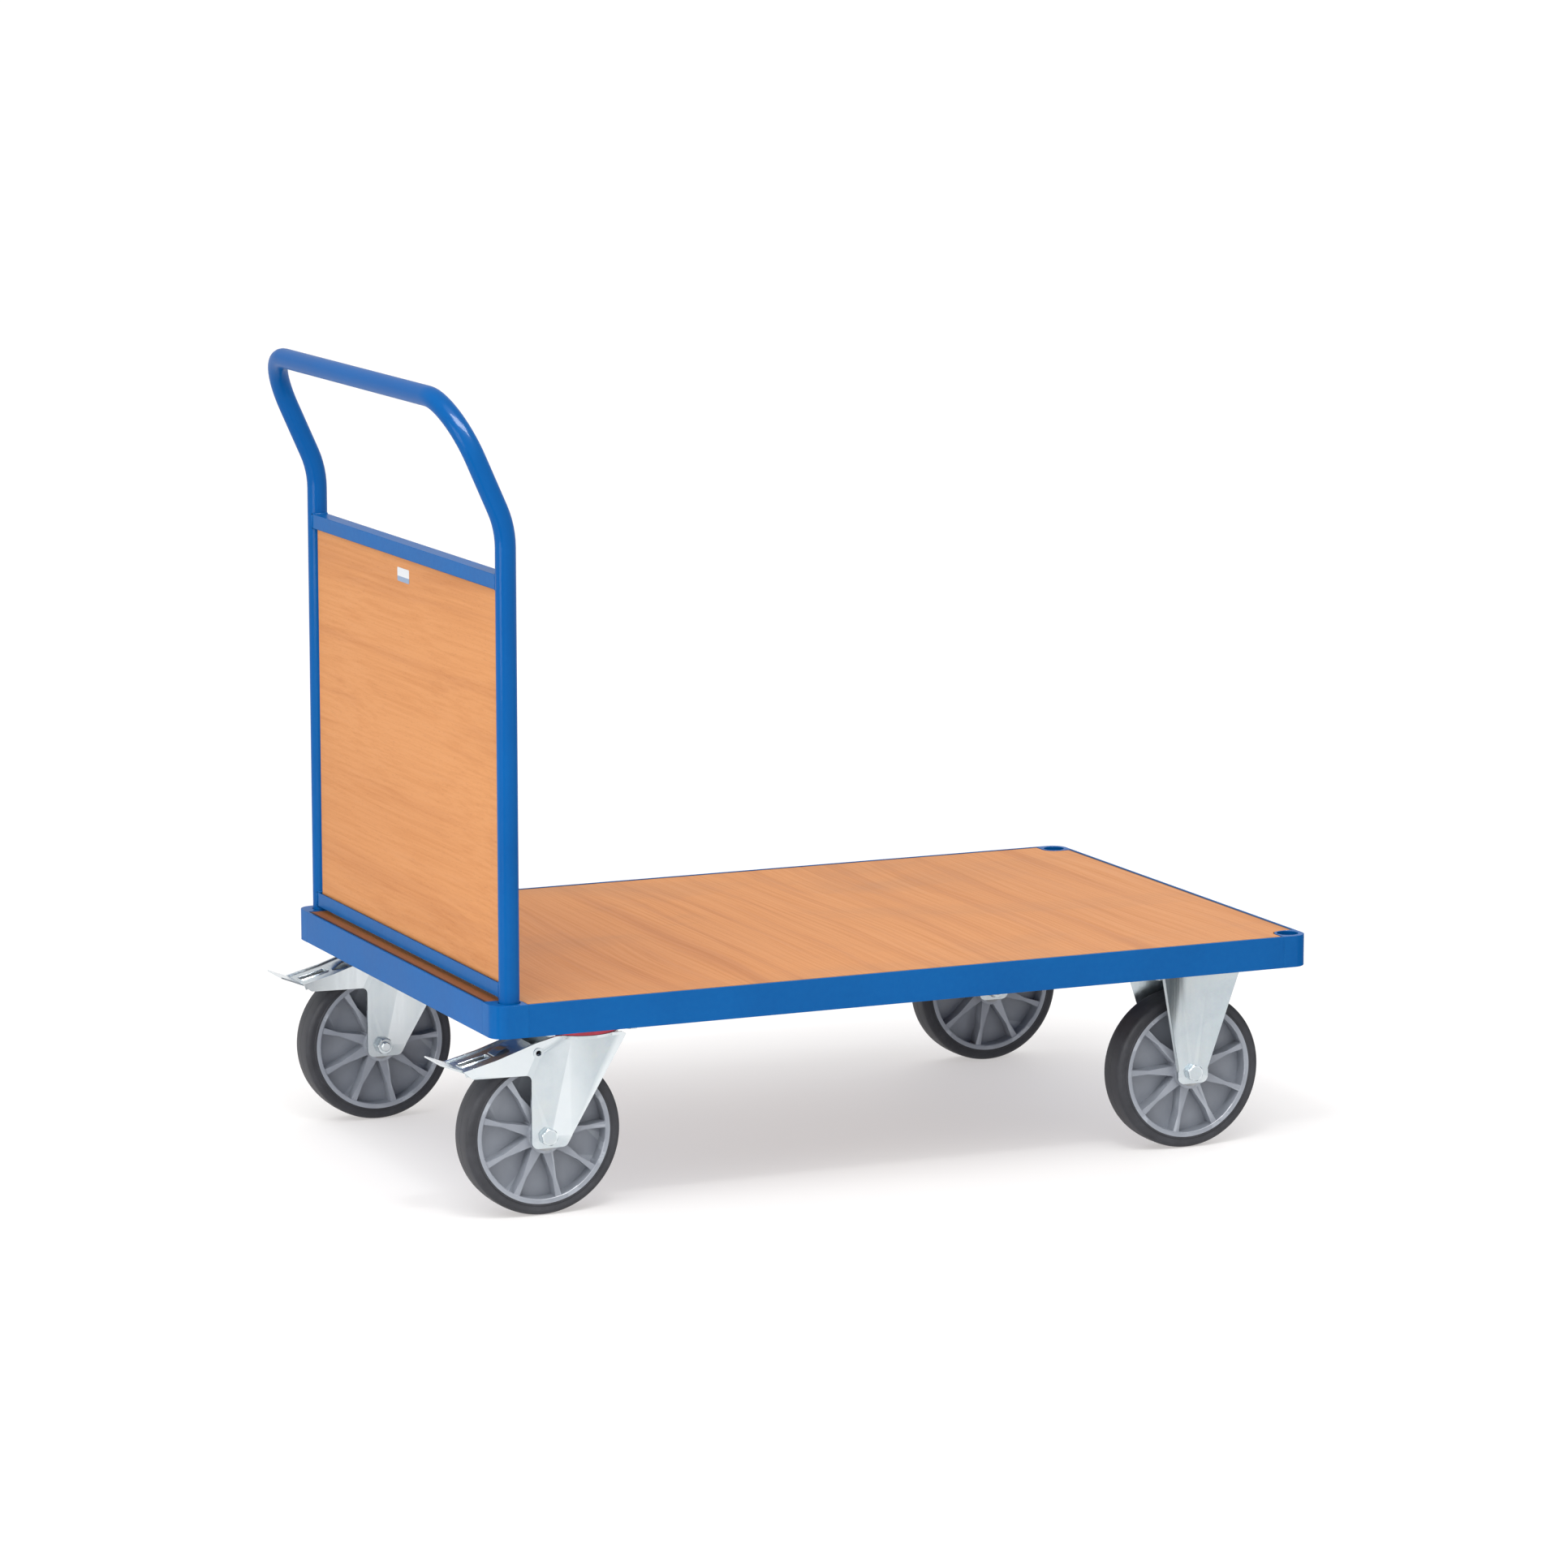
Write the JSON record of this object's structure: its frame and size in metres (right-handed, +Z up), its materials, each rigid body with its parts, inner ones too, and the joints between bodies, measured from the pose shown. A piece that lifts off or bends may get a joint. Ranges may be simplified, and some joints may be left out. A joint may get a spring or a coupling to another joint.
{
  "type": "platform truck",
  "caption": "Blue steel flatbed platform truck with a wooden deck and end wall, a bent push handle, braked swivel casters at the handle end and fixed casters at the other",
  "frame": {"origin": "on the floor, under the middle of the overall length and width", "axes": "+X points forward, away from the push handle, along the longest side; +Y is the left side; +Z is up"},
  "size_m": [1.154, 0.7, 1.001],
  "materials": {
    "blue_paint": "satin",
    "wood_board": "satin",
    "zinc_plate": "satin",
    "bearing_steel": "satin",
    "tyre_rubber": "matte",
    "rim_polymer": "matte",
    "seal_red": "matte",
    "label_white": "matte"
  },
  "bodies": {
    "truck": {"board_screws": "zinc_plate", "caster_bolts": "zinc_plate", "caster_nuts": "zinc_plate", "clamp_screws": "zinc_plate", "cross_tubes": "blue_paint", "deck_board": "wood_board", "end_panel": "wood_board", "front_caster_beam": "blue_paint", "front_end_rail": "blue_paint", "front_left_axle_bolt": "zinc_plate", "front_left_axle_nut": "zinc_plate", "front_left_bracket": "zinc_plate", "front_left_corner_socket": "blue_paint", "front_right_axle_bolt": "zinc_plate", "front_right_axle_nut": "zinc_plate", "front_right_bracket": "zinc_plate", "front_right_corner_socket": "blue_paint", "label_plate": "label_white", "left_side_rail": "blue_paint", "lower_rail": "blue_paint", "push_handle": "blue_paint", "rear_caster_beam": "blue_paint", "rear_end_rail": "blue_paint", "rear_left_corner_socket": "blue_paint", "rear_left_kingpin": "zinc_plate", "rear_left_seal_ring": "seal_red", "rear_left_swivel_race": "zinc_plate", "rear_left_top_plate": "zinc_plate", "rear_right_corner_socket": "blue_paint", "rear_right_kingpin": "zinc_plate", "rear_right_seal_ring": "seal_red", "rear_right_swivel_race": "zinc_plate", "rear_right_top_plate": "zinc_plate", "right_side_rail": "blue_paint", "upper_rail": "blue_paint"},
    "rear_right_swivel": {"rear_right_fork": "zinc_plate", "rear_right_brake_pivot": "zinc_plate", "rear_right_axle_bolt": "zinc_plate", "rear_right_axle_nut": "zinc_plate"},
    "rear_right_wheel": {"rear_right_tyre": "tyre_rubber", "rear_right_wheel_centre": "rim_polymer", "rear_right_roller_bearing": "bearing_steel"},
    "rear_right_pedal": {"rear_right_brake_pedal": "zinc_plate"},
    "front_right_wheel": {"front_right_tyre": "tyre_rubber", "front_right_wheel_centre": "rim_polymer", "front_right_roller_bearing": "bearing_steel"},
    "rear_left_swivel": {"rear_left_fork": "zinc_plate", "rear_left_brake_pivot": "zinc_plate", "rear_left_axle_bolt": "zinc_plate", "rear_left_axle_nut": "zinc_plate"},
    "rear_left_wheel": {"rear_left_tyre": "tyre_rubber", "rear_left_wheel_centre": "rim_polymer", "rear_left_roller_bearing": "bearing_steel"},
    "rear_left_pedal": {"rear_left_brake_pedal": "zinc_plate"},
    "front_left_wheel": {"front_left_tyre": "tyre_rubber", "front_left_wheel_centre": "rim_polymer", "front_left_roller_bearing": "bearing_steel"}
  },
  "joints": [
    {"name": "rear_right_swivel_turn", "type": "hinge", "parent": "truck", "child": "rear_right_swivel", "pos_m": [-0.389, -0.285, 0.215], "axis": [0, 0, 1], "continuous": true},
    {"name": "rear_right_wheel_spin", "type": "hinge", "parent": "rear_right_swivel", "child": "rear_right_wheel", "pos_m": [-0.443, -0.285, 0.1], "axis": [0, 1, 0], "continuous": true},
    {"name": "rear_right_pedal_press", "type": "hinge", "parent": "rear_right_swivel", "child": "rear_right_pedal", "pos_m": [-0.4545, -0.285, 0.203], "axis": [0, -1, 0], "range_deg": [0, 6]},
    {"name": "front_right_wheel_spin", "type": "hinge", "parent": "truck", "child": "front_right_wheel", "pos_m": [0.43, -0.285, 0.1], "axis": [0, 1, 0], "continuous": true},
    {"name": "rear_left_swivel_turn", "type": "hinge", "parent": "truck", "child": "rear_left_swivel", "pos_m": [-0.389, 0.285, 0.215], "axis": [0, 0, 1], "continuous": true},
    {"name": "rear_left_wheel_spin", "type": "hinge", "parent": "rear_left_swivel", "child": "rear_left_wheel", "pos_m": [-0.443, 0.285, 0.1], "axis": [0, 1, 0], "continuous": true},
    {"name": "rear_left_pedal_press", "type": "hinge", "parent": "rear_left_swivel", "child": "rear_left_pedal", "pos_m": [-0.4545, 0.285, 0.203], "axis": [0, -1, 0], "range_deg": [0, 6]},
    {"name": "front_left_wheel_spin", "type": "hinge", "parent": "truck", "child": "front_left_wheel", "pos_m": [0.43, 0.285, 0.1], "axis": [0, 1, 0], "continuous": true}
  ]
}
